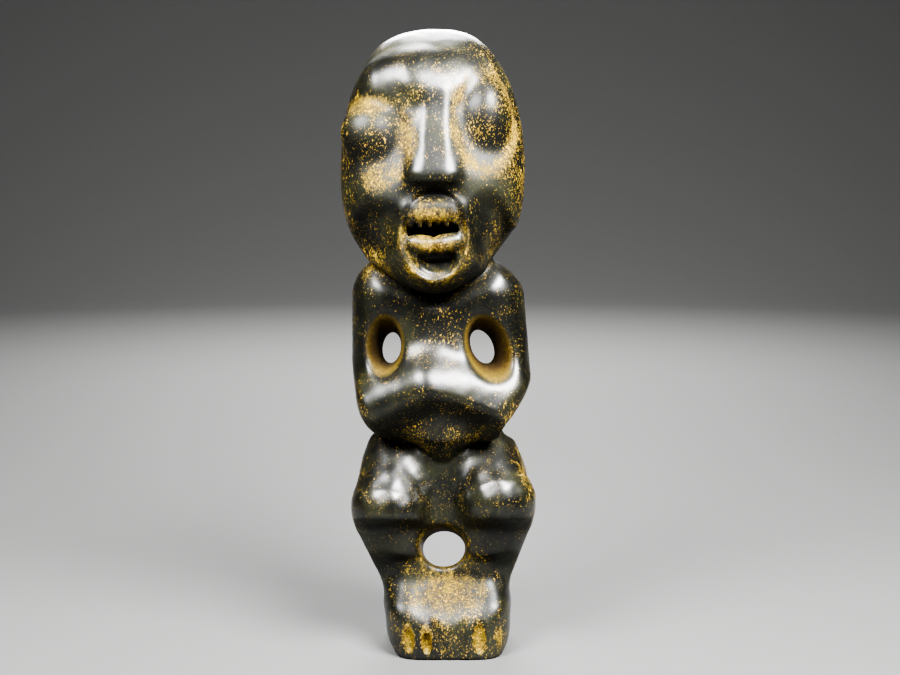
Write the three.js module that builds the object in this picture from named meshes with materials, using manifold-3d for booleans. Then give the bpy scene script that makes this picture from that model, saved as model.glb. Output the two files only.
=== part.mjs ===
// Squatting figure carved from one block of dark polished stone: a very large egg-shaped head, folded
// arms, drawn-up knees and one block for both feet, with three holes drilled right through it.
//
// The carving is one solid. Its skin is worked out from rounded masses that run into each other, as
// abraded stone does, and the through holes are then drilled out of it.
//
// Millimetres. +Z is up, the face looks along -Y, +X is to the right of someone facing the figure.

import * as THREE from "three";
import { mergeVertices } from "three/addons/utils/BufferGeometryUtils.js";
import Module from "manifold-3d";

const wasm = await Module();
wasm.setup();

// ---------------------------------------------------------------- driving dimensions

// The whole figure leans a little to its right as it rises.
const LEAN_AT_SOLE = 0.9;
const LEAN_PER_MM = -0.031;

const HEAD = { x: -2.45, y: -1.5, z: 108, halfWidth: 20.3, halfDepth: 15.6, rise: 31.8, drop: 25 };
const HEAD_TILT = 0.09; // the crown lies further back than the chin, in mm for each mm of height
const HEAD_ROUNDNESS = { across: 2.25, above: 2.15, below: 2.4 };

const MUZZLE = { centre: [0.4, -9.4, 94.2], radii: [10, 8.6, 11.4] };
const CHEEK_HOLLOWS = [
  { centre: [-11.6, -18, 96], radii: [5.2, 4.2, 6] },
  { centre: [12.6, -17.6, 97.5], radii: [4.6, 3.6, 7] },
];
const NOSE = {
  top: [0.6, -10.6, 121],
  tip: [0.2, -17.2, 106.6],
  radius: 3,
  nostrils: [0, -15.6, 105.4],
  nostrilRadii: [6, 3.6, 3],
};
const EYES = [
  { x: -12.2, z: 114.8, halfWidth: 4.9, halfHeight: 4.6, hollow: [7.2, 4.4, 7.4], hollowRise: 1.2 },
  { x: 10.7, z: 118.4, halfWidth: 4.6, halfHeight: 6.4, hollow: [6.4, 4.6, 10], hollowRise: 0 },
];
const MOUTH = { centre: [0.4, -20.2, 93.2], radii: [6.6, 4.8, 8.4] };
const LIPS = { upper: 98.8, lower: 92.4, halfLength: 4, y: -15.4, radius: 1.7 };

const TORSO = { z: 67.6, halfWidth: 20.2, halfDepth: 10.8, halfHeight: 21, corner: 8.5 };
const TORSO_TAPER = 0.0022; // share of the width lost for each mm above the elbows
const ELBOW_HEIGHT = 61;
const WAIST_HEIGHT = 47.8;

const THIGH = { hip: [11.8, 0.5, 40.6], knee: [12.4, -6, 33.4], hipRadius: 8, kneeRadius: 8.4 };
const SHIN = { knee: [11.7, -2, 29.4], ankle: [7.8, -1, 13], kneeRadius: 8.3, ankleRadius: 4.8 };
const SEAT = { centre: [8.2, 4.5, 37.5], radii: [10.6, 9, 10] };

const FEET = { x: 0.3, y: -0.4, halfWidth: 14.3, halfDepth: 12.8, height: 15.4, corner: 6.4 };
const INSTEP = { start: [-3.8, -16.8, 19.6], end: [4.2, -16.8, 19.6], radius: 9.2 };
const TOE_GROOVES = [
  { x: -9.1, height: 5.6 },
  { x: -4.9, height: 4.9 },
  { x: 7.2, height: 6.8 },
  { x: 11.4, height: 5.6 },
];

// How finely each skin follows its mass, and the axis inside it that it is pushed out from.
const HEAD_SKIN = { low: [0, -4, 97], high: [0, 0, 119], capRings: 9, around: 44, rings: 11 };
const TORSO_SKIN = { low: [0, -0.5, 60], high: [0, -0.5, 76], capRings: 8, around: 40, rings: 8 };
const LEGS_SKIN = { low: [0, -1, 14], high: [0, -1, 38], capRings: 7, around: 44, rings: 12 };
const FEET_SKIN = { low: [0, -0.4, 2], high: [0, -0.4, 8], capRings: 8, around: 40, rings: 2 };

// Drilled holes: centre and radius at the front and at the back, how much taller than wide they are,
// and how far the front edge is worn open.
const HOLE_REACH = 16;
const HOLES = [
  { front: [-14.6, 69.9], back: [-11.8, 69.2], radius: [4.6, 2.8], tall: 1.3, flare: 1.3 },
  { front: [10.8, 69.6], back: [8.4, 68.4], radius: [4.8, 3.2], tall: 1.35, flare: 1.5 },
  { front: [0, 26.2], back: [0.1, 17.2], radius: [4.7, 4.2], tall: 1, flare: 0.7 },
];

const STONE = { color: 0x14140f, roughness: 0.25, metalness: 0 };

// ---------------------------------------------------------------- rounded masses
// Each gives how far a point lies outside its surface, negative within it.

/** An ellipsoid with the given centre and radii. */
function ball(p, [cx, cy, cz], [rx, ry, rz]) {
  const x = (p.x - cx) / rx;
  const y = (p.y - cy) / ry;
  const z = (p.z - cz) / rz;
  const reach = Math.hypot(x, y, z);
  return (reach * (reach - 1)) / Math.max(Math.hypot(x / rx, y / ry, z / rz), 1e-6);
}

/** A bar with round ends whose radius runs from the one at its start to the one at its end. */
function limb(p, start, end, startRadius, endRadius) {
  const a = new THREE.Vector3(...start);
  const along = new THREE.Vector3(...end).sub(a);
  const share = THREE.MathUtils.clamp(p.clone().sub(a).dot(along) / along.lengthSq(), 0, 1);
  const radius = THREE.MathUtils.lerp(startRadius, endRadius, share);
  return p.distanceTo(a.addScaledVector(along, share)) - radius;
}

/** A box with rounded edges and corners. */
function block(p, [cx, cy, cz], [hx, hy, hz], corner) {
  const x = Math.abs(p.x - cx) - hx + corner;
  const y = Math.abs(p.y - cy) - hy + corner;
  const z = Math.abs(p.z - cz) - hz + corner;
  const outside = Math.hypot(Math.max(x, 0), Math.max(y, 0), Math.max(z, 0));
  return outside + Math.min(Math.max(x, y, z), 0) - corner;
}

/** Everything behind a flat cut through a point, whose outward direction is given. */
function flat(p, [x, y, z], direction) {
  const outward = new THREE.Vector3(...direction).normalize();
  return (p.x - x) * outward.x + (p.y - y) * outward.y + (p.z - z) * outward.z;
}

/** Two masses joined, with a fillet of about the given size. */
function join(a, b, fillet) {
  const near = Math.max(fillet - Math.abs(a - b), 0) / fillet;
  return Math.min(a, b) - (near * near * fillet) / 4;
}

/** What two masses share, with the edge eased by about the given size. */
function shave(a, b, ease) {
  return -join(-a, -b, ease);
}

/** The first mass with the second carved out of it. */
function carve(a, b, ease) {
  return shave(a, -b, ease);
}

// ---------------------------------------------------------------- the figure's masses

/** Egg-shaped skull, flattened on the crown and bevelled along one side of the jaw. */
function skull(p) {
  const up = p.z - HEAD.z;
  const y = p.y - HEAD.y - HEAD_TILT * up;
  const { across, above, below } = HEAD_ROUNDNESS;
  const wide = Math.abs(p.x / HEAD.halfWidth);
  const girth = (wide ** across + Math.abs(y / HEAD.halfDepth) ** across) ** (1 / across);
  const power = up > 0 ? above : below;
  const reach = (girth ** power + Math.abs(up / (up > 0 ? HEAD.rise : HEAD.drop)) ** power) ** (1 / power);
  let f = (reach - 1) * HEAD.halfDepth;
  f = shave(f, flat(p, [19.4, 0, 96.6], [0.8, 0, -0.6]), 0.8);
  return shave(f, flat(p, [1, -3, 138], [-0.05, -0.42, 0.9]), 4);
}

/** The head's smooth mass: skull, raised muzzle and the shallow hollows below the cheeks. */
function headMass(p) {
  let f = join(skull(p), ball(p, MUZZLE.centre, MUZZLE.radii), 3);
  for (const hollow of CHEEK_HOLLOWS) f = carve(f, ball(p, hollow.centre, hollow.radii), 2.5);
  return f;
}

/** Chest and folded arms: one rounded block, hollow under the chin, drawn in below the elbows. */
function torso(p) {
  const q = p.clone();
  q.x = (p.x - 0.3) / (1 - TORSO_TAPER * (p.z - ELBOW_HEIGHT));
  let f = block(q, [0, 0.6, TORSO.z], [TORSO.halfWidth, TORSO.halfDepth, TORSO.halfHeight], TORSO.corner);
  f = carve(f, limb(p, [0.4, -14.5, 88], [0, -13.2, 77], 9.5, 1.2), 2.5);
  f = join(f, limb(p, [-13.2, -6, 57.2], [-2.6, -9.2, 60.4], 4.2, 4.4), 2.5);
  f = join(f, limb(p, [13, -6, 57.2], [2.6, -9, 60.6], 4.6, 5.2), 2.5);
  f = join(f, ball(p, [0.2, -3, 53], [13.4, 9.8, 6.6]), 3);
  f = shave(f, flat(p, [20.8, 0, ELBOW_HEIGHT + 0.6], [0.84, 0, -0.54]), 1.6);
  f = shave(f, flat(p, [-18.6, 0, 55.5], [-0.93, 0, -0.36]), 3);
  f = shave(f, flat(p, [-14.4, 0, 48.8], [-0.6, 0, -0.8]), 1.5);
  f = shave(f, flat(p, [0, 0, WAIST_HEIGHT], [0, 0, -1]), 2);
  return join(f, limb(p, [0.2, -6, 50], [0, -3.5, 42.5], 5.4, 2), 2);
}

/** Drawn-up thighs, shins sloping in to the ankles, and the seat behind. */
function legs(p) {
  const sides = [-1, 1].map((side) => {
    const at = ([x, y, z]) => [side * x, y, z];
    let f = limb(p, at(THIGH.hip), at(THIGH.knee), THIGH.hipRadius, THIGH.kneeRadius);
    f = shave(f, flat(p, [0, -13, 30.2], [0, -0.42, -0.9]), 1.2);
    f = join(f, limb(p, at(SHIN.knee), at(SHIN.ankle), SHIN.kneeRadius, SHIN.ankleRadius), 1.5);
    return join(f, ball(p, at(SEAT.centre), SEAT.radii), 2.5);
  });
  return join(join(...sides, 3), block(p, [0, 0.5, 29], [8, 7.5, 19], 4), 3);
}

/** One block for both feet, rounded over the toes and drawn in under the sides. */
function feet(p) {
  const { x, y, halfWidth, halfDepth, height, corner } = FEET;
  const halfHeight = height / 2 + corner;
  let f = block(p, [x, y, height - halfHeight], [halfWidth, halfDepth, halfHeight], corner);
  for (const side of [-1, 1]) {
    f = shave(f, flat(p, [x + side * (halfWidth - 0.8), 0, 1.2], [side * 0.8, 0, -0.6]), 1);
  }
  return f;
}

// ---------------------------------------------------------------- making the solid

/** How far along a direction from a point inside a mass its skin lies. */
function depthOfSkin(mass, inside, direction) {
  const step = 1;
  const at = (distance) => mass(inside.clone().addScaledVector(direction, distance));
  let near = 0;
  while (at(near + step) < 0) near += step;
  let far = near + step;
  for (let halving = 0; halving < 18; halving += 1) {
    const middle = (near + far) / 2;
    if (at(middle) < 0) near = middle;
    else far = middle;
  }
  return near;
}

/**
 * The skin of a mass: a capsule standing inside it, each of whose vertices is pushed out along its
 * own normal until it meets the surface. The capsule's axis runs from low to high.
 */
function skin(mass, { low, high, capRings, around, rings }) {
  const axis = new THREE.Line3(new THREE.Vector3(...low), new THREE.Vector3(...high));
  const height = high[2] - low[2];
  const capsule = new THREE.CapsuleGeometry(1, height, capRings, around, rings);
  capsule.rotateX(Math.PI / 2);
  const places = capsule.getAttribute("position");
  const outward = new THREE.Vector3();
  const inside = new THREE.Vector3();
  for (let i = 0; i < places.count; i += 1) {
    outward.fromBufferAttribute(places, i);
    const level = THREE.MathUtils.clamp(outward.z, -height / 2, height / 2);
    outward.z -= level;
    outward.normalize();
    axis.at(level / height + 0.5, inside);
    inside.addScaledVector(outward, depthOfSkin(mass, inside, outward));
    places.setXYZ(i, inside.x, inside.y, inside.z);
  }
  return capsule;
}

/** A closed three.js geometry as a solid that can be joined and cut. */
function solid(geometry) {
  geometry.deleteAttribute("normal");
  geometry.deleteAttribute("uv");
  const merged = mergeVertices(geometry, 1e-4);
  const vertProperties = new Float32Array(merged.getAttribute("position").array);
  const triVerts = new Uint32Array(merged.index.array);
  return new wasm.Manifold(new wasm.Mesh({ numProp: 3, vertProperties, triVerts }));
}

/** An ellipsoid. */
function egg([x, y, z], [rx, ry, rz], around = 24) {
  const geometry = new THREE.SphereGeometry(1, around, Math.round(around * 0.7));
  geometry.rotateX(Math.PI / 2);
  geometry.scale(rx, ry, rz);
  return geometry.translate(x, y, z);
}

/** A bar with round ends, of the given number of sides. */
function bar(start, end, radius, sides = 16) {
  const from = new THREE.Vector3(...start);
  const along = new THREE.Vector3(...end).sub(from);
  const geometry = new THREE.CapsuleGeometry(radius, along.length(), sides / 4, sides);
  const up = new THREE.Vector3(0, 1, 0);
  geometry.applyQuaternion(new THREE.Quaternion().setFromUnitVectors(up, along.clone().normalize()));
  const middle = from.addScaledVector(along, 0.5);
  return geometry.translate(middle.x, middle.y, middle.z);
}

/** How far the leaning body has moved sideways at a height. */
function leanAt(z) {
  return LEAN_AT_SOLE + LEAN_PER_MM * z;
}

/** The solid of a shape that stands straight, leaned over with the body. */
function leaned(geometry) {
  const places = geometry.getAttribute("position");
  for (let i = 0; i < places.count; i += 1) {
    places.setX(i, places.getX(i) + leanAt(places.getZ(i)));
  }
  return solid(geometry);
}

/** The solid of a shape made about the middle of the head. */
function onHead(geometry) {
  return solid(geometry.translate(HEAD.x, 0, 0));
}

/** The head with its eyes, nose and mouth cut and left standing. */
function head() {
  let carving = onHead(skin(headMass, HEAD_SKIN));
  for (const eye of EYES) {
    const hollow = egg([eye.x, -17.4, eye.z + eye.hollowRise], eye.hollow, 28);
    const ball = egg([eye.x, -10.9, eye.z], [eye.halfWidth, 4.6, eye.halfHeight]);
    carving = carving.subtract(onHead(hollow)).add(onHead(ball));
  }
  carving = carving.add(onHead(bar(NOSE.top, NOSE.tip, NOSE.radius)));
  carving = carving.add(onHead(egg(NOSE.nostrils, NOSE.nostrilRadii)));
  carving = carving.subtract(onHead(egg(MOUTH.centre, MOUTH.radii, 28)));
  for (const height of [LIPS.upper, LIPS.lower]) {
    const [left, right] = [-1, 1].map((side) => [MOUTH.centre[0] + side * LIPS.halfLength, LIPS.y, height]);
    carving = carving.add(onHead(bar(left, right, LIPS.radius)));
  }
  return carving;
}

/** The feet with the grooves between the toes and between the two feet. */
function feetBlock() {
  const front = FEET.y - FEET.halfDepth;
  let carving = leaned(skin(feet, FEET_SKIN));
  for (const toe of TOE_GROOVES) {
    const groove = egg([toe.x, front - 0.5, toe.height / 2], [1.4, 1.7, toe.height / 2], 16);
    carving = carving.subtract(leaned(groove));
  }
  return carving.subtract(leaned(bar([0.4, front - 0.6, -1], [0.4, front - 0.6, 8], 1.4)));
}

/** A tapered drill core whose front end flares where the edge of the hole is worn open. */
function drillCore({ front, back, radius, tall, flare }) {
  const [wide, narrow] = radius;
  const flareStarts = 0.72;
  const profile = [
    [0, 0],
    [narrow, 0],
    [THREE.MathUtils.lerp(narrow, wide, flareStarts), flareStarts],
    [wide + flare * 0.35, flareStarts + 0.08],
    [wide + flare * 1.6, 1],
    [0, 1],
  ].map(([r, share]) => new THREE.Vector2(r, HOLE_REACH * (2 * share - 1)));
  const core = new THREE.LatheGeometry(profile, 28);
  const places = core.getAttribute("position");
  for (let i = 0; i < places.count; i += 1) {
    const share = 0.5 + places.getY(i) / (2 * HOLE_REACH);
    const x = THREE.MathUtils.lerp(back[0], front[0], share) + places.getX(i);
    const z = THREE.MathUtils.lerp(back[1], front[1], share) - places.getZ(i) * tall;
    places.setXYZ(i, x, -places.getY(i), z);
  }
  return solid(core);
}

/** A box that holds everything below the sole. */
function ground() {
  const size = 100;
  return solid(new THREE.BoxGeometry(size, size, size).translate(0, 0, -size / 2));
}

/** A solid as a geometry with the middle of its sole at the origin. */
function centred(carving) {
  const mesh = carving.getMesh();
  const geometry = new THREE.BufferGeometry();
  geometry.setAttribute("position", new THREE.BufferAttribute(new Float32Array(mesh.vertProperties), 3));
  geometry.setIndex(new THREE.BufferAttribute(new Uint32Array(mesh.triVerts), 1));
  geometry.computeBoundingBox();
  const { min, max } = geometry.boundingBox;
  geometry.translate(-(min.x + max.x) / 2, -(min.y + max.y) / 2, -min.z);
  geometry.computeVertexNormals();
  return geometry;
}

function carveFigure() {
  const torsoAndLegs = leaned(skin(torso, TORSO_SKIN)).add(leaned(skin(legs, LEGS_SKIN)));
  const instep = leaned(bar(INSTEP.start, INSTEP.end, INSTEP.radius, 32));
  let carving = torsoAndLegs.add(feetBlock()).subtract(instep).add(head()).subtract(ground());
  for (const hole of HOLES) carving = carving.subtract(drillCore(hole));
  return centred(carving);
}

const figure = new THREE.Mesh(carveFigure(), new THREE.MeshStandardMaterial(STONE));
figure.name = "figure";

const group = new THREE.Group();
group.add(figure);

export default group;
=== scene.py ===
"""A squatting figure carved from one block of near-black polished stone, on a pale studio floor."""

import itertools
import math

import bpy
import numpy as np
from bpy.props import FloatProperty, FloatVectorProperty, PointerProperty
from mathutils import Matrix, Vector


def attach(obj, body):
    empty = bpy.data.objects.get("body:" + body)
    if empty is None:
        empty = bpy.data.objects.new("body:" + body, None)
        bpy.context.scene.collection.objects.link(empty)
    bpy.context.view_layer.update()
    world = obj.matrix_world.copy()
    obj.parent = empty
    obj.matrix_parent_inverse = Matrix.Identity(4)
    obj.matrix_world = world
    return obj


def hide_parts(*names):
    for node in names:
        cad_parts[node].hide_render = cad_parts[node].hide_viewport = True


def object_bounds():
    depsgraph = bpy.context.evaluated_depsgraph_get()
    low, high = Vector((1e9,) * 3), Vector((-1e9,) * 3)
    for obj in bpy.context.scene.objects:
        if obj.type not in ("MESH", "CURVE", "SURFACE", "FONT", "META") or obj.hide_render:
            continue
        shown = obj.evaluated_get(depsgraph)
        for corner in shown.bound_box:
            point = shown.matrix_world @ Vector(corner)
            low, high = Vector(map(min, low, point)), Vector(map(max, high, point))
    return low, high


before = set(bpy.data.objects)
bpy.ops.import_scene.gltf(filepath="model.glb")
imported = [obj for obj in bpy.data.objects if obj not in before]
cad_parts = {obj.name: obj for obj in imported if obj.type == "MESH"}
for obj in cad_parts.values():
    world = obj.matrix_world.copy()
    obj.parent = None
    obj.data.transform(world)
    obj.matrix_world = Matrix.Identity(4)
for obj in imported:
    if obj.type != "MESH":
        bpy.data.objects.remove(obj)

bl_info = {
    "name": "Carved stone figure",
    "version": (1, 0, 0),
    "blender": (4, 5, 0),
    "location": "3D View > Sidebar > Figure",
    "description": "Carves a squatting figure from dark stone and lights it",
    "category": "Object",
}

CAD_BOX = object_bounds()
HEIGHT = CAD_BOX[1][2] - CAD_BOX[0][2]

# The carving is worked out in millimetres from the middle of the sole, the face looking along -Y.
MM = 0.001
LEAN_AT_SOLE, LEAN_PER_MM = 0.9, -0.031
HEAD_X = -2.45
GRID_SPAN = ((-23.6, 22.0), (-22.4, 16.6), (-1.5, 141.5))
SLAB_HEIGHT = 8
HEAD_ONLY_ABOVE, BODY_ONLY_BELOW = 92, 80

# Each groove between two toes: its place along X, its middle height, half its width, half its height.
TOE_GROOVES = ((-8.7, 4.3, 1.4, 2.9), (-4.6, 3.9, 1.1, 2.4), (7.2, 5.2, 1.6, 4.0), (12.0, 5.6, 1.2, 3.3))

# The stone's shader: how its clear polish bends and spreads light, and what counts as hollow.
STONE_IOR = 1.36
COAT_ROUGHNESS = 0.30
HOLLOW_SPREAD = 16
HOLLOW_FULL = 0.25

# The studio: the air's faint light, how the floor is made, and where the camera stands.
AIR_COLOUR, AIR_STRENGTH = (0.92, 0.95, 1.0, 1), 0.06
FLOOR_BEND_STEPS, FLOOR_TURN_STEPS = 14, 96
FLOOR_MOTTLE = 0.96
CAMERA_ASIDE, CAMERA_HEIGHT, CAMERA_DOWN = 0.0024, 0.755, 7


def in_head(x, y, z):
    """The coordinates from the head's own middle line."""
    return x - HEAD_X, y, z


def in_body(x, y, z):
    """The coordinates from the body's middle line, which leans to one side as it rises."""
    return x - LEAN_AT_SOLE - LEAN_PER_MM * z, y, z


# ---------------------------------------------------------------- rounded masses
# Each gives how far the points lie outside a surface, in millimetres, negative within it.

def join(a, b, fillet):
    """Two masses as one: the smaller distance, lowered by near * near * fillet / 4 where they are alike."""
    near = np.maximum(fillet - np.abs(a - b), 0) / fillet
    return np.minimum(a, b) - near * near * (fillet / 4)


def shave(a, b, ease):
    """What two masses share, its edge eased in the same way as a fillet."""
    return -join(-a, -b, ease)


def carve(a, b, ease):
    """The first mass with the second taken out of it."""
    return shave(a, -b, ease)


def ball(p, centre, radii):
    """An ellipsoid: the points' reach in radii, less one, scaled back by its own slope."""
    unit = [(c - m) / r for c, m, r in zip(p, centre, radii)]
    reach = np.sqrt(unit[0] ** 2 + unit[1] ** 2 + unit[2] ** 2)
    slope = np.sqrt(sum((u / r) ** 2 for u, r in zip(unit, radii)))
    return reach * (reach - 1) / np.maximum(slope, 1e-6)


def limb(p, start, end, start_radius, end_radius):
    """A round-ended bar: the distance to the nearest point of its axis, less the radius there."""
    start, along = np.array(start, float), np.subtract(end, start)
    offset = [c - s for c, s in zip(p, start)]
    share = sum(o * a for o, a in zip(offset, along)) / (along @ along)
    share = np.clip(share, 0, 1)
    gap = np.sqrt(sum((o - share * a) ** 2 for o, a in zip(offset, along)))
    return gap - (start_radius + (end_radius - start_radius) * share)


def block(p, centre, half, corner):
    """A box with rounded edges: the distance to a smaller box, less the corner's radius."""
    over = [np.abs(c - m) - h + corner for c, m, h in zip(p, centre, half)]
    outside = np.sqrt(sum(np.maximum(o, 0) ** 2 for o in over))
    return outside + np.minimum(np.maximum(np.maximum(over[0], over[1]), over[2]), 0) - corner


def flat(p, point, direction):
    """All that lies behind a flat cut: the distance along the direction it faces."""
    facing = np.array(direction, float) / np.linalg.norm(direction)
    return sum((c - m) * d for c, m, d in zip(p, point, facing))


def ridge(p, top, tip, top_half, tip_half, edge):
    """A bar with a flat front, running down and forwards from top to tip, with a round edge."""
    along = np.subtract(tip, top)[1:]
    length = np.linalg.norm(along)
    y, z = p[1] - top[1], p[2] - top[2]
    share = (y * along[0] + z * along[1]) / length ** 2
    held = np.clip(share, 0, 1)
    half = top_half + (tip_half - top_half) * held
    across = np.maximum(np.abs(p[0] - top[0] - (tip[0] - top[0]) * held) - half + edge, 0)
    out = np.maximum(np.abs(y * along[1] - z * along[0]) / length - edge * 0.6, 0)
    return np.sqrt(across ** 2 + out ** 2 + ((share - held) * length) ** 2) - edge


def tilted(p, centre, degrees):
    """The points turned about a front-to-back line, so that a shape made upright leans to +X."""
    c, s = math.cos(math.radians(degrees)), math.sin(math.radians(degrees))
    x, z = p[0] - centre[0], p[2] - centre[1]
    return centre[0] + x * c - z * s, p[1], centre[1] + x * s + z * c


# ---------------------------------------------------------------- the figure's masses

def skull(p):
    """Egg whose level sections and upright outline are superellipses, crown flattened, one jaw bevelled."""
    x, y, z = p
    half_width, half_depth, crown_height, jaw_depth = 20.3, 15.6, 31.9, 25.0
    level_power = 2.25
    up = z - 108.0
    back = y + 1.5 - 0.09 * up
    power = np.where(up > 0, 2.15, 2.4)
    girth = (np.abs(x / half_width) ** level_power + np.abs(back / half_depth) ** level_power)
    girth = girth ** (1 / level_power)
    height = np.abs(up / np.where(up > 0, crown_height, jaw_depth))
    f = ((girth ** power + height ** power) ** (1 / power) - 1) * half_depth
    f = shave(f, flat(p, (19.4, 0, 96.6), (0.80, 0, -0.60)), 0.8)
    return shave(f, flat(p, (1.0, -3.0, 138.0), (-0.05, -0.42, 0.90)), 4.0)


def patch(p, centre, radii, edge, turn=0.0):
    """On the front of the head, 1 inside an upright ellipse and 0 outside it, with a smooth step
    between that takes up the given share of the radius, fading out towards the sides."""
    x, y, z = tilted(p, centre, turn)
    reach = np.sqrt(((x - centre[0]) / radii[0]) ** 2 + ((z - centre[1]) / radii[1]) ** 2)
    t = np.clip((1 - reach) / edge, 0, 1)
    return t * t * (3 - 2 * t) * np.clip(-(y + 1) / 5, 0, 1)


def brow(f, p):
    """A full forehead that overhangs the left socket, with a flat panel over the other one."""
    f = join(f, limb(p, (-10.5, -7.4, 126.0), (-4.0, -9.3, 127.0), 3.8, 4.8), 4.0)
    f = join(f, limb(p, (-1.0, -9.3, 126.0), (4.5, -9.3, 127.5), 4.8, 4.8), 4.0)
    return shave(f, flat(p, (5.0, -13.0, 127.6), (0.2, -0.82, 0.54)), 2.5)


def sockets(f, p):
    """Dished sockets, the first open to the side of the head, and hollows under the cheekbones."""
    f = f + 1.4 * patch(p, (-13.8, 116.0), (11.6, 8.8), 0.85, -6)
    f = f + 1.1 * patch(p, (-8.8, 111.5), (7.8, 11.5), 1.0, 14)
    f = f + 2.1 * patch(p, (11.3, 117.9), (8.9, 12.8), 0.85, 5)
    f = f + 1.9 * patch(p, (-11.6, 94.8), (7.0, 7.4), 0.7, 12)
    return f + 1.8 * patch(p, (12.4, 95.2), (6.0, 9.4), 0.6, -6)


def eyes(f, p):
    """A bulging eye in each socket, the one at +X higher and taller."""
    f = join(f, ball(tilted(p, (-12.9, 115.4), 25), (-12.9, -8.9, 115.4), (6.7, 5.9, 6.2)), 3.0)
    return join(f, ball(tilted(p, (11.0, 118.8), 4), (11.0, -8.3, 118.8), (5.5, 6.2, 8.2)), 2.6)


def nose(f, p):
    """A flat ridge on a wider sloping one, growing out of the brow, undercut below."""
    f = join(f, ridge(p, (0.7, -9.6, 120.0), (0.5, -15.2, 106.4), 3.4, 5.6, 2.4), 2.0)
    f = join(f, ridge(p, (0.8, -12.4, 124.0), (0.6, -17.3, 106.2), 2.6, 3.2, 1.1), 1.6)
    return carve(f, limb(p, (-4.6, -18.7, 102.5), (5.2, -18.7, 102.7), 1.8, 1.8), 1.6)


def mouth(f, p):
    """Muzzle with a D-shaped hollow: a toothed upper lip, a slot, a lower lip in two lobes and a
    half-moon pit below it."""
    f = join(f, ball(p, (0.4, -10.2, 92.8), (9.4, 8.2, 11.0)), 4.0)
    f = f + 1.5 * patch(p, (0.5, 94.4), (7.4, 10.2), 0.18)
    q = tilted(p, (0.4, 95.0), -3)
    f = carve(f, block(q, (0.2, -17.6, 95.4), (5.4, 5.0, 2.3), 1.6), 0.5)
    f = carve(f, ball(q, (0.9, -17.8, 88.8), (4.7, 5.0, 3.3)), 0.5)
    f = join(f, limb(q, (-3.8, -15.3, 99.4), (4.4, -15.3, 99.4), 1.9, 1.9), 2.4)
    for x, drop in ((-4.4, 1.0), (-2.6, 1.5), (-0.5, 1.2), (1.4, 0.8), (3.1, 1.3), (4.8, 0.9)):
        f = join(f, limb(q, (x, -16.4, 98.4), (x + 0.1, -16.2, 97.4 - drop), 1.0, 0.45), 0.6)
    f = join(f, limb(q, (-3.8, -14.9, 92.6), (-1.2, -15.5, 92.1), 1.9, 2.1), 0.4)
    return join(f, limb(q, (1.9, -15.5, 92.1), (4.9, -14.9, 92.7), 2.1, 1.9), 0.4)


def head(x, y, z):
    p = in_head(x, y, z)
    return mouth(nose(eyes(sockets(brow(skull(p), p), p), p), p), p)


def torso(p):
    """Chest and arms in one rounded block, a V hollow under the chin, a belly that slopes out to an
    arched edge and is cut back under it, and a forearm lying on it from each side."""
    x, y, z = p
    q = ((x - 0.3) / (1 - 0.0022 * (z - 61)), y, z)
    f = block(q, (0, 1.8, 67.6), (20.2, 9.6, 21.0), 8.5)
    f = shave(f, flat(p, (15.6, 0, 87.2), (0.62, 0, 0.78)), 3.0)
    arch = (x, y, z + 0.0135 * x ** 2)
    belly = ball(p, (3.6, -1.0, 64.0), (15.2, 17.0, 27.0))
    belly = shave(belly, flat(p, (0, -15.3, 58.8), (0.27, -0.84, 0.46)), 1.5)
    belly = shave(belly, flat(p, (-2.5, -14.6, 58.8), (-0.60, -0.72, 0.34)), 6.0)
    f = join(f, belly, 3.0)
    f = join(f, limb(p, (-14.4, -7.4, 55.8), (-3.4, -9.6, 60.6), 4.3, 4.5), 7.0)
    f = join(f, limb(p, (15.5, -4.4, 58.0), (5.0, -8.2, 60.0), 4.6, 4.0), 5.0)
    f = shave(f, flat(arch, (0, -14.6, 58.6), (0, -0.78, -0.62)), 1.2)
    valley = join(flat(p, (0, -7.8, 77.4), (0.30, -0.66, 0.62)),
                  flat(p, (0, -7.8, 77.4), (-0.30, -0.66, 0.62)), 2.0)
    f = shave(f, valley, 1.5)
    f = shave(f, flat(p, (20.8, 0, 61.6), (0.84, 0, -0.54)), 1.2)
    f = shave(f, flat(p, (-18.6, 0, 55.5), (-0.93, 0, -0.36)), 3.0)
    f = shave(f, flat(p, (-14.4, 0, 48.8), (-0.6, 0, -0.8)), 1.5)
    f = shave(f, flat(p, (0, 0, 47.8), (0, 0, -1)), 2.0)
    return join(f, limb(p, (0.2, -4.4, 50.5), (0.2, -2.6, 43.0), 6.4, 3.0), 4.0)


def leg(p, side, shin_top, drop):
    """A drawn-up thigh that ends in a sharp edge under the knee, the shin and one half of the seat."""
    thigh = limb(p, (side * 10.4, 2.6, 43.8), (side * 12.2, -5.8, 34.6 - drop), 6.6, 8.6)
    thigh = shave(thigh, flat(p, (0, -13.0, 31.2), (0, -0.30, -0.95)), 1.6)
    shin = limb(p, (side * 11.8, -1.8, shin_top), (side * 8.6, -1.6, 13.0), 8.4, 4.9)
    seat = ball(p, (side * 8.2, 4.5, 37.5), (10.6, 9.0, 10.0))
    f = join(join(thigh, shin, 2.6), seat, 4.0)
    return carve(f, limb(p, (side * 9.4, -11.4, 16.8), (side * 14.0, -8.4, 17.8), 3.2, 3.2), 3.5)


def legs(p):
    both = join(leg(p, -1, 28.6, 1.6), leg(p, 1, 30.0, 0.0), 4.0)
    return join(both, block(p, (0, 1.2, 29.0), (6.0, 6.6, 19.0), 4.0), 5.0)


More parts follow.
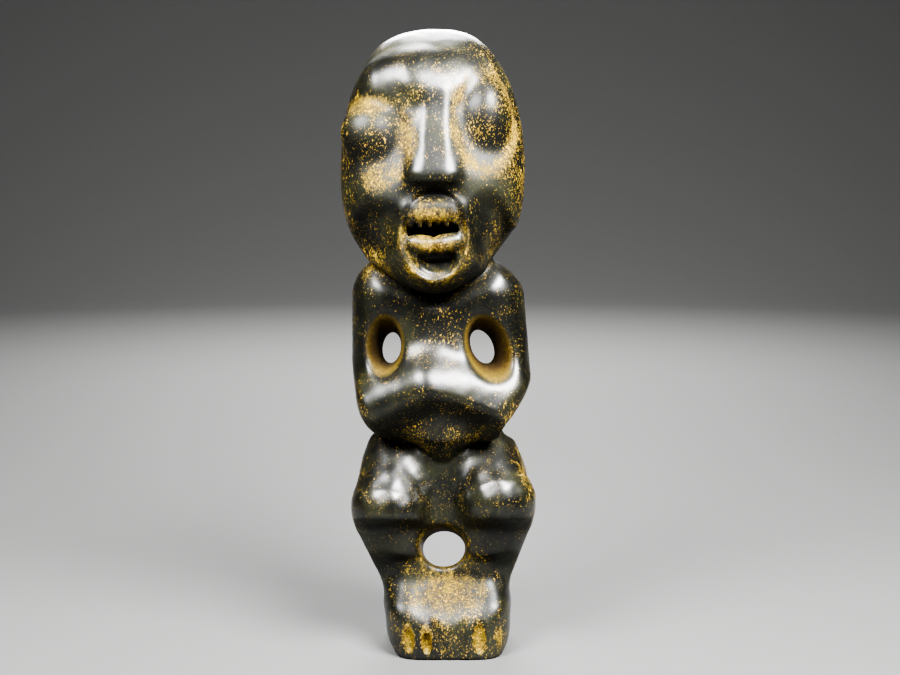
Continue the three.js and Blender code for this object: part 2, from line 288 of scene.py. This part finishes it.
def feet(p):
    """One block for both feet, its plan a superellipse, its bottom edges cut back at the sides."""
    f = block(p, (0.3, -0.6, 4.8), (14.3, 13.2, 9.6), 6.8)
    outline = (np.abs((p[0] - 0.1) / 14.8) ** 3 + np.abs((p[1] + 0.6) / 13.6) ** 3) ** (1 / 3)
    f = shave(f, (outline - 1) * 13.4, 1.0)
    f = shave(f, flat(p, (-12.8, 0, 1.4), (-0.8, 0, -0.6)), 2.0)
    return shave(f, flat(p, (13.4, 0, 1.4), (0.8, 0, -0.6)), 2.0)


def instep(p):
    """The wide round hollow from the hole between the shins down to the toes, level at its top."""
    bowl = limb(p, (-2.6, -25.6, 23.2), (3.2, -25.6, 23.2), 19.0, 19.0)
    return shave(bowl, flat(p, (0, 0, 20.5), (0, 0, 1)), 2.0)


def toe_grooves(f, p):
    """Two upright grooves in each foot and a forked one between the feet."""
    for x, middle, half, height in TOE_GROOVES:
        f = carve(f, ball(p, (x, -13.6, middle), (half, 1.4, height)), 0.4)
    f = carve(f, limb(p, (-3.2, -14.0, 9.4), (-0.8, -14.4, 1.0), 1.4, 0.9), 0.9)
    return carve(f, limb(p, (3.9, -14.0, 9.2), (2.1, -14.4, 1.0), 1.4, 0.9), 0.9)


def drilling(p, waist, slant, narrow, spread, lean):
    """A hole worked from both faces: a leaning oval, narrowest at its waist, whose middle shifts by
    the slant and whose radii grow by the spread with every millimetre towards either face."""
    x, y, z = p
    along = y - waist[1]
    away = np.sqrt(along ** 2 + 4) - 2
    moved = (x - waist[0] - slant[0] * along, y, z - waist[2] - slant[1] * along)
    across, _, up = tilted(moved, (0, 0), lean)
    wide, tall = narrow[0] + spread[0] * away, narrow[1] + spread[1] * away
    return (np.sqrt((across / wide) ** 2 + (up / tall) ** 2) - 1) * wide


def arm_holes(p):
    left = drilling(p, (-10.7, 2.0, 68.0), (0.14, -0.20), (2.3, 3.5), (0.23, 0.32), 8)
    return np.minimum(left, drilling(p, (9.9, 2.0, 68.2), (-0.15, -0.13), (2.6, 4.0), (0.27, 0.34), -22))


def leg_hole(p):
    """One hole between the shins, falling towards the back."""
    return drilling(p, (-0.3, 1.0, 21.3), (0.03, -0.36), (4.9, 4.4), (0.04, 0.04), 0)


def unevenness(x, y, z):
    """Gentle waves that hand rubbing leaves, strongest on the knees: a sum of three products, each of
    two slanting sines."""
    waves = np.sin(0.83 * x + 0.31 * y + 0.62 * z + 1.3) * np.sin(0.47 * x - 0.71 * y + 0.24 * z)
    waves = waves + np.sin(0.35 * x + 0.93 * y - 0.55 * z + 2.1) * np.sin(0.52 * z - 0.44 * x + 0.7)
    waves = waves + 0.6 * np.sin(1.21 * x - 0.83 * z + 0.6 * y) * np.sin(1.05 * z + 0.9 * y + 0.4)
    return waves * (0.02 + 0.06 * np.exp(-((z - 38) / 6) ** 2))


def waist_groove(p):
    """The groove that parts one elbow from the hip."""
    return limb(p, (15.6, -9, 51.2), (15.6, 9, 47.6), 1.1, 1.1)


def body(x, y, z):
    p = in_body(x, y, z)
    f = join(torso(p), legs(p), 0.8)
    f = carve(f, waist_groove(p), 2.0)
    f = join(f, feet(p), 5.0)
    f = carve(f, instep(p), 3.0)
    f = carve(f, arm_holes(p), 1.8)
    f = carve(f, leg_hole(p), 1.8)
    return toe_grooves(f, p)


def figure(x, y, z):
    """The whole carving, flat underneath."""
    low, high = np.min(z), np.max(z)
    if low > HEAD_ONLY_ABOVE:
        f = head(x, y, z)
    elif high < BODY_ONLY_BELOW:
        f = body(x, y, z)
    else:
        f = join(body(x, y, z), head(x, y, z), 1.0)
    return shave(f + unevenness(x, y, z), -z, 0.6)


# ---------------------------------------------------------------- from field to surface

def crossing_cells(values, axes):
    """For each cell that the surface crosses, the mean of the crossings on its twelve edges."""
    inside = values < 0
    corners = list(itertools.product((0, 1), repeat=3))
    shape = np.array(values.shape) - 1
    view = lambda c: tuple(slice(o, o + n) for o, n in zip(c, shape))
    count = sum(inside[view(c)].astype(np.int8) for c in corners)
    cells = np.argwhere((count > 0) & (count < 8))
    index = np.full(shape, -1, np.int32)
    index[tuple(cells.T)] = np.arange(len(cells))
    total, hits = np.zeros((len(cells), 3)), np.zeros(len(cells))
    for a, b in itertools.combinations(corners, 2):
        if np.abs(np.subtract(a, b)).sum() != 1:
            continue
        ia, ib = cells + a, cells + b
        fa, fb = values[tuple(ia.T)], values[tuple(ib.T)]
        crossed = (fa < 0) != (fb < 0)
        share = np.where(crossed, fa / np.where(crossed, fa - fb, 1), 0)[:, None]
        pa = np.stack([axis[i] for axis, i in zip(axes, ia.T)], 1)
        pb = np.stack([axis[i] for axis, i in zip(axes, ib.T)], 1)
        total += (pa + (pb - pa) * share) * crossed[:, None]
        hits += crossed
    return total / hits[:, None], index, inside


def quads_between(index, inside):
    """A quad round each grid edge that goes from inside to outside, its front towards the outside."""
    quads = []
    for axis, (u, v) in enumerate(((1, 2), (2, 0), (0, 1))):
        low, high = [slice(1, -1)] * 3, [slice(1, -1)] * 3
        low[axis], high[axis] = slice(0, -1), slice(1, None)
        before, after = inside[tuple(low)], inside[tuple(high)]
        edges = np.argwhere(before != after)
        leaving = before[tuple(edges.T)]
        cell = edges + 1
        cell[:, axis] -= 1
        du, dv = np.eye(3, dtype=int)[u], np.eye(3, dtype=int)[v]
        ring = np.stack([index[tuple(c.T)] for c in (cell - du - dv, cell - dv, cell, cell - du)], 1)
        ring[~leaving] = ring[~leaving][:, ::-1]
        quads.append(ring)
    return np.concatenate(quads)


def slope_of(field, points, step=0.05):
    """The field's value at the points and its slope along each axis."""
    here = field(*points.T)
    return here, np.stack([(field(*(points + d).T) - here) / step for d in np.eye(3) * step], 1)


def neighbour_mean(quads, count):
    """A function that gives, for each vertex, the mean of some numbers over the vertices next to it."""
    ends = np.concatenate([quads[:, [i, (i + 1) % 4]] for i in range(4)])
    start, end = np.concatenate([ends, ends[:, ::-1]]).T
    share = 1 / np.bincount(start, minlength=count)
    return lambda values: np.bincount(start, values[end], count) * share


def settled(field, points, quads, rounds=2):
    """Evens the vertices out between their neighbours, then slides each back onto the surface."""
    gentlest_slope, longest_move = 0.05, 0.3
    mean = neighbour_mean(quads, len(points))
    for _ in range(rounds):
        points = 0.5 * (points + np.stack([mean(c) for c in points.T], 1))
        for _ in range(2):
            here, slope = slope_of(field, points)
            move = slope * (here / np.maximum((slope ** 2).sum(1), gentlest_slope))[:, None]
            size = np.linalg.norm(move, axis=1, keepdims=True)
            points = points - move * np.minimum(1, longest_move / np.maximum(size, 1e-9))
    return points


def carved_surface(step):
    """The figure's skin on a grid of the given step: the field in level slabs, then the cells it crosses."""
    x, y, z = (np.arange(low, high, step) for low, high in GRID_SPAN)
    slabs = np.array_split(z, math.ceil(len(z) * step / SLAB_HEIGHT))
    sample = lambda slab: figure(x[:, None, None], y[None, :, None], slab[None, None, :])
    values = np.concatenate([sample(slab).astype(np.float32) for slab in slabs], 2)
    points, index, inside = crossing_cells(values, (x, y, z))
    quads = quads_between(index, inside)
    return settled(figure, points, quads), quads


# ---------------------------------------------------------------- where the stone is worn and stained

def curvature(points, normals, quads, spread):
    """How hollow the stone is round each vertex, in 1/mm, negative on a crest: how far the mean of its
    neighbours stands in front of it, over the square of their distance, then averaged outwards."""
    mean = neighbour_mean(quads, len(points))
    offset = np.stack([mean(c) for c in points.T], 1) - points
    edge = np.linalg.norm(points[quads[:, 0]] - points[quads[:, 1]], axis=1).mean()
    bend = 4 * (offset * normals).sum(1) / edge ** 2
    for _ in range(spread):
        bend = mean(bend)
    return bend


def nearness(field, points, normals, reach):
    """How much stone stands in front of each point: 0 on open stone, 1 deep in a nook."""
    return np.clip(1 - field(*(points + normals * reach).T) / reach, 0, 1)


def soft_spot(p, centre, radii, edge=0.5):
    """1 in the middle of an ellipsoid, falling smoothly to 0 outside it."""
    reach = np.sqrt(sum(((c - m) / r) ** 2 for c, m, r in zip(p, centre, radii)))
    t = np.clip((1 + edge - reach) / (2 * edge), 0, 1)
    return t * t * (3 - 2 * t)


def stain_map(points):
    """Ochre left where polishing doesn't reach: round the eyes, the lips, the instep and the toes."""
    q = in_head(*points.T)
    spots = (
        ((-15.0, -11, 121.4), (7.0, 6, 2.5), 0.9),
        ((-5.0, -14, 113.5), (2.4, 5, 7.5), 0.85),
        ((-9.5, -14, 106.2), (7.0, 5, 3.0), 0.6),
        ((13.0, -12, 107.8), (6.0, 5, 2.4), 0.7),
        ((0.4, -17, 98.3), (6.0, 5, 2.1), 0.85),
        ((0.5, -17, 92.4), (5.8, 5, 2.1), 0.95),
        ((-14.0, -8, 88), (7, 7, 4.0), 0.35),
    )
    rings = (
        ((11.3, 118.2), (6.6, 10.2), 0.9),
        ((0.5, 92.4), (6.9, 8.2), 0.75),
    )
    ring_width = 0.20
    stain = np.zeros(len(points))
    for centre, radii, strength in spots:
        stain = np.maximum(stain, strength * soft_spot(q, centre, radii))
    front = points[:, 1] < -6
    for centre, radii, strength in rings:
        reach = np.sqrt(((q[0] - centre[0]) / radii[0]) ** 2 + ((q[2] - centre[1]) / radii[1]) ** 2)
        lower = np.clip(1.0 - (q[2] - centre[1] - 2) / (2.2 * radii[1]), 0, 1)
        stain = np.maximum(stain, strength * front * lower * np.exp(-((reach - 1) / ring_width) ** 2))
    p = in_body(*points.T)
    stain = np.maximum(stain, 0.85 * soft_spot(p, (0.6, -9, 14.0), (8.5, 6, 5.2), 0.7))
    stain = np.maximum(stain, 0.5 * soft_spot(p, (0, -6, 20), (9, 6, 9)))
    for x, *_ in TOE_GROOVES:
        stain = np.maximum(stain, soft_spot(p, (x, -13.0, 4.8), (1.5, 2.0, 3.6), 0.25))
    return stain


def weather_map(points):
    """Where the flecks crowd: the sides of the head, the jaw, one elbow and the outer hips."""
    on_head = (
        ((18, -6, 112), (5, 10, 22), 0.6),
        ((-5, 12, 120), (12, 8, 12), 0.35),
        ((15, -8, 93), (6, 7, 9), 0.5),
        ((-19, -5, 105), (4, 10, 26), 0.6),
        ((-13, -9, 88), (8, 7, 5), 0.7),
        ((0, -12, 122), (9, 8, 12), 0.45),
        ((11, -13, 117), (5, 6, 8), 0.5),
        ((-12, -13, 112), (6, 6, 8), 0.35),
        ((12, -4, 132), (6, 8, 7), 0.5),
    )
    on_body = (
        ((16, -6, 54), (6, 8, 6), 0.9),
        ((20, -3, 40), (4, 9, 11), 0.85),
        ((2, -10, 70), (7, 5, 14), 0.4),
        ((-18, -6, 55), (4, 7, 8), 0.45),
        ((-20, -4, 36), (4, 8, 14), 0.5),
        ((0, -8, 50), (14, 8, 7), 0.4),
        ((0, -10, 6), (15, 6, 8), 0.45),
        ((3, 11, 60), (13, 6, 9), 0.35),
        ((-4, 12, 36), (14, 6, 9), 0.4),
    )
    weather = np.zeros(len(points))
    for place, spots in ((in_head(*points.T), on_head), (in_body(*points.T), on_body)):
        for centre, radii, strength in spots:
            weather = np.maximum(weather, strength * soft_spot(place, centre, radii, 0.6))
    return weather


def drilled_map(points):
    """1 on the drilled walls of the arm holes, less in the hole between the shins, 0 elsewhere."""
    p = in_body(*points.T)
    arms = np.clip(1.4 - np.abs(arm_holes(p)) / 0.5, 0, 1)
    legs_too = np.clip(1.4 - np.abs(leg_hole(p)) / 0.5, 0, 1) * 0.6
    return np.maximum(arms, legs_too) * (points[:, 2] < BODY_ONLY_BELOW)


def rubbed_map(points, normals):
    """1 where a hand polishes the stone bright, falling to 0 on undersides and in the nooks, and low
    below each eye, above the mouth and on the instep."""
    q = in_head(*points.T)
    above = np.clip(1 + 2.2 * (normals[:, 2] + 0.05), 0, 1)
    for centre, radii in (((-12.9, -12, 112), (9, 8, 10)), ((11.0, -12, 113), (8, 8, 12)),
                          ((0.4, -15, 101.6), (10, 6, 4)), ((0.0, -9.5, 14.5), (18, 6, 4.6))):
        above = above * (1 - 0.85 * soft_spot(q, centre, radii))
    return above * (1 - nearness(figure, points, normals, 3.0)) ** 1.5


# ---------------------------------------------------------------- meshes and shader maths

def new_object(name, vertices, faces, material):
    mesh = bpy.data.meshes.new(name)
    mesh.from_pydata(vertices.tolist(), [], faces.tolist())
    mesh.update()
    mesh.shade_smooth()
    mesh.materials.append(material)
    made = bpy.data.objects.new(name, mesh)
    bpy.context.scene.collection.objects.link(made)
    return made


def store(mesh, name, values):
    """Puts one number for each vertex into the mesh under a name."""
    mesh.attributes.new(name, "FLOAT", "POINT").data.foreach_set("value", values.astype(np.float32))


class Wire:
    """A shader socket on which arithmetic makes Math nodes."""

    def __init__(self, tree, socket):
        self.tree, self.socket = tree, socket

    def node(self, kind, settings=None, inputs=None, output=0):
        """Adds any node: its settings are set first, then the values or links of its inputs."""
        made = self.tree.nodes.new(kind)
        for key, value in (settings or {}).items():
            setattr(made, key, value)
        for key, value in (inputs or {}).items():
            if isinstance(value, Wire):
                self.tree.links.new(value.socket, made.inputs[key])
            else:
                made.inputs[key].default_value = value
        return Wire(self.tree, made.outputs[output])

    def maths(self, operation, *values):
        return self.node("ShaderNodeMath", {"operation": operation}, dict(enumerate(values)))

    def __add__(self, other): return self.maths("ADD", self, other)
    def __radd__(self, other): return self.maths("ADD", other, self)
    def __sub__(self, other): return self.maths("SUBTRACT", self, other)
    def __rsub__(self, other): return self.maths("SUBTRACT", other, self)
    def __mul__(self, other): return self.maths("MULTIPLY", self, other)
    def __rmul__(self, other): return self.maths("MULTIPLY", other, self)
    def __truediv__(self, other): return self.maths("DIVIDE", self, other)

    def lowest(self, other): return self.maths("MINIMUM", self, other)
    def highest(self, other): return self.maths("MAXIMUM", self, other)
    def held(self): return self.lowest(1.0).highest(0.0)

    def rise(self, start, end):
        """0 at start, 1 at end and beyond, with a smooth step between."""
        settings = {"interpolation_type": "SMOOTHSTEP"}
        return self.node("ShaderNodeMapRange", settings, {"Value": self, "From Min": start, "From Max": end})

    def paint(self, over, mask):
        """This colour with another over it where the mask is 1, by a Mix node's colour sockets."""
        settings = {"data_type": "RGBA", "clamp_factor": True}
        return self.node("ShaderNodeMix", settings, {0: mask, 6: self, 7: over}, 2)

    def turned(self, degrees, scale):
        """These coordinates stretched and turned."""
        angles = [math.radians(d) for d in degrees]
        return self.node("ShaderNodeMapping", None, {"Vector": self, "Rotation": angles, "Scale": scale})

    def noise(self, size, detail=2.0, roughness=0.5):
        """Noise with features of about the given size in metres."""
        inputs = {"Vector": self, "Scale": 1 / size, "Detail": detail, "Roughness": roughness}
        return self.node("ShaderNodeTexNoise", None, inputs)

    def object_place(self):
        """The point's place on its own object, in metres."""
        return self.node("ShaderNodeTexCoord", None, None, 3)

    def plain(self, colour):
        """One even colour."""
        made = self.node("ShaderNodeRGB")
        made.socket.default_value = (*colour, 1)
        return made

    def blend(self, share, first, second):
        """From the first of two even colours to the second, as the share goes from 0 to 1."""
        inputs = {0: share, 6: (*first, 1), 7: (*second, 1)}
        return self.node("ShaderNodeMix", {"data_type": "RGBA"}, inputs, 2)


def new_material(name):
    """A material with its shader, and a wire to make the other nodes from."""
    material = bpy.data.materials.new(name)
    material.use_nodes = True
    tree = material.node_tree
    return material, tree.nodes["Principled BSDF"], Wire(tree, None)


def feed(shader, socket, wire):
    wire.tree.links.new(wire.socket, shader.inputs[socket])


# ---------------------------------------------------------------- the stone

def flecks(space, size, spread, seed, stretch=(1.0, 1.0, 0.7)):
    """Ragged specks of about a given size: where fine noise stands above a limit that falls as the
    spread map rises, so that they crowd in the drifts."""
    grain = space.turned((0, 31.0 * seed, 17.0 * seed), stretch).noise(size, 4.0, 0.62)
    return (grain - 0.70 + spread * 0.125).rise(0.0, 0.03)


def stone_material(look):
    """Near-black stone: green-grey mottling, ochre flecks in drifts, ochre stain in the hollows, a
    polish that is brightest where it is rubbed and dulls on the stain, and fine relief."""
    material, shader, tool = new_material("polished dark stone")
    space = tool.object_place()
    attribute = lambda name: tool.node("ShaderNodeAttribute", {"attribute_name": name}, None, 2)
    names = ("stain", "nook", "drilled", "hollow", "rubbed", "weather")
    stain, nook, drilled, hollow, rubbed, weather = (attribute(name) for name in names)

    clouds = space.noise(9 * MM, 3.0)
    drifts = space.noise(5 * MM, 4.0, 0.62)
    grain = space.noise(0.7 * MM, 4.0, 0.65)
    veins = space.turned((20, 25, 0), (1.0, 1.0, 0.45)).noise(2.0 * MM, 5.0, 0.7)
    depth = tool.node("ShaderNodeSeparateXYZ", None, {0: space}, 1)
    level = tool.node("ShaderNodeSeparateXYZ", None, {0: space}, 2)

    ochre_here = stain + nook * 0.20 + hollow * 0.10 - 0.55
    ochre_here = ochre_here + (drifts - 0.5) * 1.0 + (veins - 0.5) * 1.3 + (grain - 0.5) * 2.2
    ochre_here = ochre_here.rise(-0.25, 0.75)
    spread = (drifts.rise(0.43, 0.64) * 0.6 + stain * 0.75 + weather * 0.8 - 0.12).held()
    large = flecks(space, 0.6 * MM, spread * 0.9, 1)
    small = flecks(space, 0.30 * MM, spread * 0.9 + 0.36, 2)
    streaks = flecks(space, 0.45 * MM, weather + spread * 0.4, 3, (1.0, 1.0, 0.35))
    specks = large.highest(small * 0.75).highest(streaks * 0.9)

    green = (clouds.rise(0.42, 0.70) * 0.7 + veins.rise(0.5, 0.75) * 0.6).held()
    colour = tool.plain(look.stone).paint((*look.green, 1), green)
    gold = tool.blend(veins.rise(0.35, 0.65), look.ochre_dark, look.ochre)
    colour = colour.paint(gold, ochre_here * 0.75)
    # Painted shade: the drilled walls go from ochre at the hole mouths to dark brown in the middle of each
    # hole, where little light reaches.
    painted_hole_shade = (1 + depth / (9 * MM)).held() * (1 - depth / (12 * MM)).held()
    wall = tool.blend(painted_hole_shade * (0.9 + 0.6 * veins), look.ochre, look.drill_brown_and_shade)
    colour = colour.paint(wall, drilled * (0.05 + 0.9 * grain))
    pale = tool.blend(grain.rise(0.40, 0.62), look.ochre, look.fleck)
    colour = colour.paint(pale, specks * (1 - 0.4 * drilled))
    feed(shader, "Base Color", colour)

    dull = ochre_here * 0.24 + specks * 0.10 + drilled * 0.25
    dull = dull + (grain - 0.5) * 0.12 + (clouds - 0.5) * 0.2
    feed(shader, "Roughness", (look.polish + dull + (1 - rubbed) * 0.22).held())

    rings = tool.maths("SINE", depth * (2 * math.pi / (0.8 * MM)) + veins * 3) * drilled
    scores = tool.maths("SINE", level * (2 * math.pi / (0.75 * MM)) + veins * 4) * stain
    scores = scores * (1 - level / (9.5 * MM)).rise(0.0, 0.1)
    height = grain * 0.12 - specks * 0.35 - ochre_here * 0.15 + rings * 0.6 + scores * 0.8
    bump = tool.node("ShaderNodeBump", None, {"Height": height, "Strength": 0.3, "Distance": 0.05 * MM})
    feed(shader, "Normal", bump)
    feed(shader, "Coat Weight", (rubbed * (1.0 - ochre_here * 0.8 - drilled)).held())
    shader.inputs["IOR"].default_value = STONE_IOR
    shader.inputs["Coat Roughness"].default_value = COAT_ROUGHNESS
    return material


def stage_material(look):
    """Matt pale paper with the faintest mottling."""
    material, shader, tool = new_material("pale floor")
    space = tool.object_place()
    shade = tuple(c * FLOOR_MOTTLE for c in look.floor)
    feed(shader, "Base Color", tool.plain(look.floor).paint((*shade, 1), space.noise(12 * MM, 4.0)))
    shader.inputs["Roughness"].default_value = 0.75
    return material


# ---------------------------------------------------------------- what a user may change

def colour_property(name, description, default):
    return FloatVectorProperty(name=name, description=description, default=default, subtype="COLOR",
                               min=0, max=1)


class FigureSizes(bpy.types.PropertyGroup):
    grid: FloatProperty(
        name="Carving fineness", description="Step of the grid that the stone's skin is found on",
        default=0.51 * MM, unit="LENGTH")
    nook_reach: FloatProperty(
        name="Nook reach", description="How far in front of the stone a nook's other wall may stand",
        default=1.6 * MM, unit="LENGTH")


class StoneLook(bpy.types.PropertyGroup):
    stone: colour_property("Stone", "The polished stone itself", (0.0034, 0.0038, 0.0026))
    green: colour_property("Green mottling", "Clouds of paler green-grey in the stone", (0.020, 0.021, 0.009))
    ochre: colour_property("Ochre", "Weathered skin left in the hollows", (0.22, 0.150, 0.014))
    ochre_dark: colour_property("Dark ochre", "The same where it is thick and brown", (0.085, 0.048, 0.006))
    fleck: colour_property("Flecks", "Pale golden flecks", (0.46, 0.29, 0.045))
    # The brown of the unpolished drilled walls, laid deepest in the middle of each hole as painted shade.
    drill_brown_and_shade: colour_property("Drilled walls", "Unpolished walls of the holes", (0.075, 0.042, 0.011))
    polish: FloatProperty(name="Polish", description="Roughness of the polished stone",
                          default=0.36, min=0, max=1, subtype="FACTOR")


class StageLook(bpy.types.PropertyGroup):
    floor: colour_property("Floor", "Pale paper under and behind the figure", (0.12, 0.12, 0.118))
    radius: FloatProperty(name="Floor radius", description="Radius of the flat part of the floor",
                          default=6 * HEIGHT, unit="LENGTH")
    distance: FloatProperty(name="Camera distance", description="From the camera to the figure",
                            default=2.0 * HEIGHT, unit="LENGTH")
    lens: FloatProperty(name="Lens", description="Focal length in millimetres", default=50, min=20, max=200)


# ---------------------------------------------------------------- operators

class FIGURE_OT_carve(bpy.types.Operator):
    """Carves the figure's stone and gives it its polish and stains"""
    bl_idname = "figure.carve"
    bl_label = "Carve the figure"

    def execute(self, context):
        sizes, look = context.scene.figure_sizes, context.scene.stone_look
        points, quads = carved_surface(sizes.grid / MM)
        low, high = np.array(CAD_BOX[0]), np.array(CAD_BOX[1])
        span = points.max(0) - points.min(0)
        placed = low + (points - points.min(0)) * (high - low) / span
        piece = new_object("carved_figure", placed, quads, stone_material(look))
        self.stain(piece.data, points, quads, sizes.nook_reach / MM)
        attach(piece, "root")
        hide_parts("figure")
        return {"FINISHED"}

    def stain(self, mesh, points, quads, reach):
        """Stores where the stone is stained, closed in, drilled, hollow and rubbed bright."""
        normals = slope_of(figure, points)[1]
        normals /= np.linalg.norm(normals, axis=1, keepdims=True)
        store(mesh, "stain", stain_map(points))
        store(mesh, "nook", nearness(figure, points, normals, reach))
        store(mesh, "drilled", drilled_map(points))
        store(mesh, "weather", weather_map(points))
        bend = curvature(points, normals, quads, HOLLOW_SPREAD)
        store(mesh, "hollow", np.clip(bend / HOLLOW_FULL, 0, 1))
        store(mesh, "rubbed", rubbed_map(points, normals))


class FIGURE_OT_stage(bpy.types.Operator):
    """Sets the floor, the soft studio lights and the camera"""
    bl_idname = "figure.stage"
    bl_label = "Set the stage"

    def execute(self, context):
        look = context.scene.stage_look
        self.floor(look)
        self.lights(context.scene)
        self.camera(context.scene, look)
        return {"FINISHED"}

    def floor(self, look):
        """A disc that curves up into a low wall: the profile is a line and a quarter circle, turned
        round the figure."""
        sweep = look.radius * 0.5
        bend = np.linspace(0, math.pi / 2, FLOOR_BEND_STEPS)
        reach = np.concatenate([[0.0], look.radius + sweep * np.sin(bend)])
        rise = np.concatenate([[0.0], sweep * (1 - np.cos(bend))])
        turn = np.linspace(0, 2 * math.pi, FLOOR_TURN_STEPS, endpoint=False)
        points = np.stack([np.outer(reach, np.cos(turn)), np.outer(reach, np.sin(turn)),
                           np.outer(rise, np.ones_like(turn))], 2).reshape(-1, 3)
        row, column = np.meshgrid(np.arange(len(reach) - 1), np.arange(len(turn)), indexing="ij")
        after = (column + 1) % len(turn)
        a, b = row * len(turn), (row + 1) * len(turn)
        faces = np.stack([a + column, b + column, b + after, a + after], 2).reshape(-1, 4)
        new_object("studio_floor", points, faces, stage_material(look))

    def lights(self, scene):
        world = bpy.data.worlds.new("studio air")
        world.use_nodes = True
        background = world.node_tree.nodes["Background"].inputs
        background["Color"].default_value = AIR_COLOUR
        background["Strength"].default_value = AIR_STRENGTH
        scene.world = world
        chest, backdrop = Vector((0, 0, HEIGHT * 0.6)), Vector((0, 4 * HEIGHT, HEIGHT))
        for name, place, size, power, aim in (
            ("left softbox", (-1.1, -1.2, 2.1), (1.2, 1.2), 3.0, chest),
            ("right softbox", (1.05, -1.2, 2.15), (1.4, 1.2), 5.5, chest),
            ("overhead lamp", (0.0, 1.15, 2.5), (0.8, 0.35), 0.25, chest),
            ("rear softbox", (0.0, 2.3, 2.3), (1.6, 0.8), 1.4, chest),
            ("backdrop light", (0.0, 3.2, 2.4), (3.0, 1.0), 5.0, backdrop),
        ):
            light = bpy.data.lights.new(name, "AREA")
            light.shape = "ELLIPSE"
            light.size, light.size_y = (s * HEIGHT for s in size)
            light.energy = power
            lamp = bpy.data.objects.new(name, light)
            lamp.location = Vector(place) * HEIGHT
            lamp.rotation_euler = (aim - lamp.location).to_track_quat("-Z", "Y").to_euler()
            scene.collection.objects.link(lamp)

    def camera(self, scene, look):
        data = bpy.data.cameras.new("camera")
        data.lens = look.lens
        data.clip_start = 0.01
        camera = bpy.data.objects.new("camera", data)
        middle = (CAD_BOX[0][0] + CAD_BOX[1][0]) / 2
        camera.location = (middle + CAMERA_ASIDE, -look.distance, CAMERA_HEIGHT * HEIGHT)
        camera.rotation_euler = (math.radians(90 - CAMERA_DOWN), 0, 0)
        scene.collection.objects.link(camera)
        scene.camera = camera
        scene.view_settings.look = "AgX - High Contrast"


class FIGURE_PT_panel(bpy.types.Panel):
    bl_label = "Carved stone figure"
    bl_idname = "FIGURE_PT_panel"
    bl_space_type = "VIEW_3D"
    bl_region_type = "UI"
    bl_category = "Figure"

    def draw(self, context):
        for operator in (FIGURE_OT_carve, FIGURE_OT_stage):
            self.layout.operator(operator.bl_idname)
        for group in (context.scene.figure_sizes, context.scene.stone_look, context.scene.stage_look):
            box = self.layout.box()
            for name in group.__annotations__:
                box.prop(group, name)


CLASSES = (FigureSizes, StoneLook, StageLook, FIGURE_OT_carve, FIGURE_OT_stage, FIGURE_PT_panel)


def register():
    for cls in CLASSES:
        bpy.utils.register_class(cls)
    bpy.types.Scene.figure_sizes = PointerProperty(type=FigureSizes)
    bpy.types.Scene.stone_look = PointerProperty(type=StoneLook)
    bpy.types.Scene.stage_look = PointerProperty(type=StageLook)


def unregister():
    for name in ("figure_sizes", "stone_look", "stage_look"):
        delattr(bpy.types.Scene, name)
    for cls in reversed(CLASSES):
        bpy.utils.unregister_class(cls)


def main():
    register()
    bpy.ops.figure.carve()
    bpy.ops.figure.stage()


if __name__ == "__main__":
    main()
